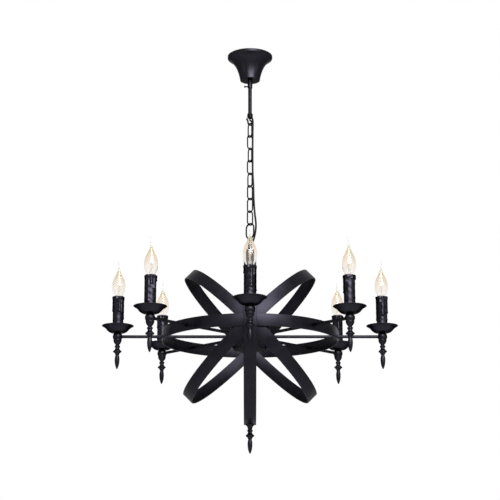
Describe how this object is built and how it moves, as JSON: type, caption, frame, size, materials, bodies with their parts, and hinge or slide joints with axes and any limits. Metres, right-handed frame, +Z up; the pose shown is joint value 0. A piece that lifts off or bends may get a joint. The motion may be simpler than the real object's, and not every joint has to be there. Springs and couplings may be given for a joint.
{
  "type": "spider ceiling light",
  "caption": "Candle chandelier: a round cage of crossed strap hoops with radial arms, drip pans, tall sleeves and clear candle bulbs, hung by a link chain, hook and stem from a bell canopy.",
  "frame": {"origin": "on the ceiling, midway between the two ceiling screws, on the stem axis", "axes": "+Z up along the stem, -Y towards the viewer of the picture, +X to the right"},
  "size_m": [0.762, 0.762, 1.0697],
  "materials": {
    "black_iron": "satin powder coat",
    "sleeve": "waxy satin",
    "amber_glass": "clear, faintly amber",
    "cap_metal": "satin",
    "zinc": "zinc plated",
    "pale_plastic": "moulded",
    "cable": "smooth sheath"
  },
  "bodies": {
    "ceiling_mount": {"ceiling_bracket": "zinc", "terminal_block": "pale_plastic", "stem_nuts": "zinc", "stem_tube": "black_iron", "stem_hook": "black_iron", "supply_cable": "cable"},
    "canopy": {"canopy": "black_iron", "canopy_collar": "black_iron"},
    "collar_screw": {"collar_screw": "zinc"},
    "link_1": {"chain_link_1": "black_iron"},
    "link_2": {"chain_link_2": "black_iron"},
    "link_3": {"chain_link_3": "black_iron"},
    "link_4": {"chain_link_4": "black_iron"},
    "link_5": {"chain_link_5": "black_iron"},
    "link_6": {"chain_link_6": "black_iron"},
    "link_7": {"chain_link_7": "black_iron"},
    "link_8": {"chain_link_8": "black_iron"},
    "cage": {"top_eye": "black_iron", "vertical_hoop": "black_iron", "ring_hoop": "black_iron", "left_diagonal_hoop": "black_iron", "right_diagonal_hoop": "black_iron", "centre_column": "black_iron", "hub_body": "black_iron", "hub_cover": "black_iron", "hub_cap_nut": "black_iron", "frame_nuts": "zinc", "wire_connectors": "pale_plastic", "bottom_finial": "black_iron", "arms": "black_iron", "arm_collars": "black_iron", "arm_leads": "cable", "lamp_balls": "black_iron", "lamp_nipples": "zinc", "lampholders": "pale_plastic", "candle_sleeves": "sleeve", "drip_pan_1": "black_iron", "drip_pan_2": "black_iron", "drip_pan_3": "black_iron", "drip_pan_4": "black_iron", "drip_pan_5": "black_iron", "drip_pan_6": "black_iron", "drip_pan_7": "black_iron", "drip_pan_8": "black_iron"},
    "bulb_1": {"bulb_glass_1": "amber_glass", "bulb_cap_1": "cap_metal"},
    "bulb_2": {"bulb_glass_2": "amber_glass", "bulb_cap_2": "cap_metal"},
    "bulb_3": {"bulb_glass_3": "amber_glass", "bulb_cap_3": "cap_metal"},
    "bulb_4": {"bulb_glass_4": "amber_glass", "bulb_cap_4": "cap_metal"},
    "bulb_5": {"bulb_glass_5": "amber_glass", "bulb_cap_5": "cap_metal"},
    "bulb_6": {"bulb_glass_6": "amber_glass", "bulb_cap_6": "cap_metal"},
    "bulb_7": {"bulb_glass_7": "amber_glass", "bulb_cap_7": "cap_metal"},
    "bulb_8": {"bulb_glass_8": "amber_glass", "bulb_cap_8": "cap_metal"}
  },
  "joints": [
    {"name": "canopy_slide", "type": "slide", "parent": "ceiling_mount", "child": "canopy", "axis": [0, 0, -1], "range_m": [0, 0.06]},
    {"name": "collar_screw_turn", "type": "hinge", "parent": "canopy", "child": "collar_screw", "pos_m": [-0.01, 0, -0.0869], "axis": [-1, 0, 0], "range_deg": [0, 720]},
    {"name": "link_1_swing", "type": "hinge", "parent": "ceiling_mount", "child": "link_1", "pos_m": [0, 0, -0.1957], "axis": [0.8192, 0.5736, 0], "range_deg": [-12, 12], "deforming": ["supply_cable"]},
    {"name": "link_2_swing", "type": "hinge", "parent": "link_1", "child": "link_2", "pos_m": [0, 0, -0.2299], "axis": [0.5299, -0.848, 0], "range_deg": [-12, 12], "deforming": ["supply_cable"]},
    {"name": "link_3_swing", "type": "hinge", "parent": "link_2", "child": "link_3", "pos_m": [0, 0, -0.2646], "axis": [0.7193, 0.6947, 0], "range_deg": [-12, 12], "deforming": ["supply_cable"]},
    {"name": "link_4_swing", "type": "hinge", "parent": "link_3", "child": "link_4", "pos_m": [0, 0, -0.2993], "axis": [0.5, -0.866, 0], "range_deg": [-12, 12], "deforming": ["supply_cable"]},
    {"name": "link_5_swing", "type": "hinge", "parent": "link_4", "child": "link_5", "pos_m": [0, 0, -0.334], "axis": [0.7431, 0.6691, 0], "range_deg": [-12, 12], "deforming": ["supply_cable"]},
    {"name": "link_6_swing", "type": "hinge", "parent": "link_5", "child": "link_6", "pos_m": [0, 0, -0.3687], "axis": [0.6157, -0.788, 0], "range_deg": [-12, 12], "deforming": ["supply_cable"]},
    {"name": "link_7_swing", "type": "hinge", "parent": "link_6", "child": "link_7", "pos_m": [0, 0, -0.4034], "axis": [0.7071, 0.7071, 0], "range_deg": [-12, 12], "deforming": ["supply_cable"]},
    {"name": "link_8_swing", "type": "hinge", "parent": "link_7", "child": "link_8", "pos_m": [0, 0, -0.4381], "axis": [0.7314, -0.682, 0], "range_deg": [-12, 12], "deforming": ["supply_cable"]},
    {"name": "cage_swing", "type": "hinge", "parent": "link_8", "child": "cage", "pos_m": [0, 0, -0.4728], "axis": [0.7431, 0.6691, 0], "range_deg": [-12, 12], "deforming": ["supply_cable"]},
    {"name": "bulb_1_lift", "type": "slide", "parent": "cage", "child": "bulb_1", "axis": [0, 0, 1], "range_m": [0, 0.03]},
    {"name": "bulb_2_lift", "type": "slide", "parent": "cage", "child": "bulb_2", "axis": [0, 0, 1], "range_m": [0, 0.03]},
    {"name": "bulb_3_lift", "type": "slide", "parent": "cage", "child": "bulb_3", "axis": [0, 0, 1], "range_m": [0, 0.03]},
    {"name": "bulb_4_lift", "type": "slide", "parent": "cage", "child": "bulb_4", "axis": [0, 0, 1], "range_m": [0, 0.03]},
    {"name": "bulb_5_lift", "type": "slide", "parent": "cage", "child": "bulb_5", "axis": [0, 0, 1], "range_m": [0, 0.03]},
    {"name": "bulb_6_lift", "type": "slide", "parent": "cage", "child": "bulb_6", "axis": [0, 0, 1], "range_m": [0, 0.03]},
    {"name": "bulb_7_lift", "type": "slide", "parent": "cage", "child": "bulb_7", "axis": [0, 0, 1], "range_m": [0, 0.03]},
    {"name": "bulb_8_lift", "type": "slide", "parent": "cage", "child": "bulb_8", "axis": [0, 0, 1], "range_m": [0, 0.03]}
  ]
}
